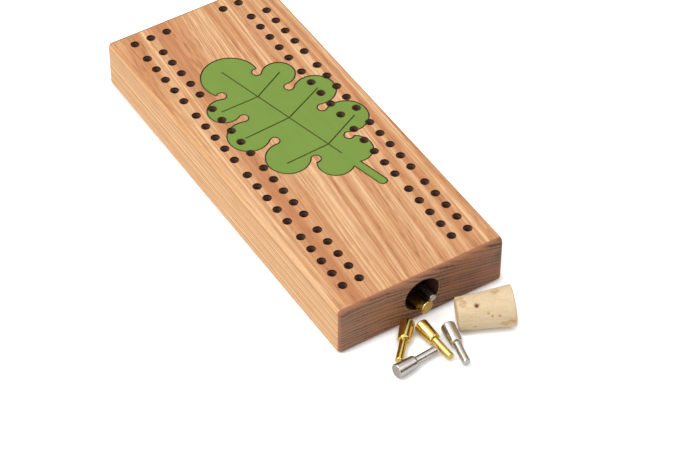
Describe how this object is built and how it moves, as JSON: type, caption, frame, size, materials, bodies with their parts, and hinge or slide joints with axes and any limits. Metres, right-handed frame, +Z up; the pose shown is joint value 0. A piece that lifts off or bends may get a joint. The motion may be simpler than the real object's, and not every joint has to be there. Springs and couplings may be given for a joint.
{
  "type": "cribbage board",
  "caption": "Rectangular hardwood cribbage board with blind peg-hole tracks, a green leaf on top, and a bored peg store in one end with its cork and metal pegs lying out.",
  "frame": {"origin": "centre of the block's underside", "axes": "+Z up out of the playing face, +Y along the grain towards the start row, peg store opening in the -Y end, +X to the right seen from the store end"},
  "size_m": [0.0636, 0.1785, 0.0191],
  "materials": {
    "oak": "clear satin oil on planed red oak, darker on the end grain",
    "green_fill": "matte green filling with a burnt outline",
    "cork": "natural cork, sanded",
    "brass": "turned brass, bright",
    "steel": "turned steel, bright"
  },
  "bodies": {
    "block": {"board": "oak", "leaf_fill": "green_fill"},
    "cork": {"cork": "cork"},
    "brass_peg_left": {"brass_peg_left": "brass"},
    "brass_peg_middle": {"brass_peg_middle": "brass"},
    "steel_peg_front": {"steel_peg_front": "steel"},
    "steel_peg_right": {"steel_peg_right": "steel"},
    "brass_peg_mouth": {"brass_peg_mouth": "brass"},
    "steel_peg_mouth": {"steel_peg_mouth": "steel"}
  },
  "joints": [
    {"name": "cork_lift", "type": "slide", "parent": "block", "child": "cork", "axis": [0, 0, 1], "range_m": [0, 0.04]},
    {"name": "brass_peg_left_lift", "type": "slide", "parent": "block", "child": "brass_peg_left", "axis": [0, 0, 1], "range_m": [0, 0.04]},
    {"name": "brass_peg_middle_lift", "type": "slide", "parent": "block", "child": "brass_peg_middle", "axis": [0, 0, 1], "range_m": [0, 0.04]},
    {"name": "steel_peg_front_lift", "type": "slide", "parent": "block", "child": "steel_peg_front", "axis": [0, 0, 1], "range_m": [0, 0.04]},
    {"name": "steel_peg_right_lift", "type": "slide", "parent": "block", "child": "steel_peg_right", "axis": [0, 0, 1], "range_m": [0, 0.04]},
    {"name": "brass_peg_mouth_pull", "type": "slide", "parent": "block", "child": "brass_peg_mouth", "axis": [0, -0.9511, 0.309], "range_m": [0, 0.03]},
    {"name": "steel_peg_mouth_pull", "type": "slide", "parent": "block", "child": "steel_peg_mouth", "axis": [0, -0.9511, 0.309], "range_m": [0, 0.03]}
  ]
}
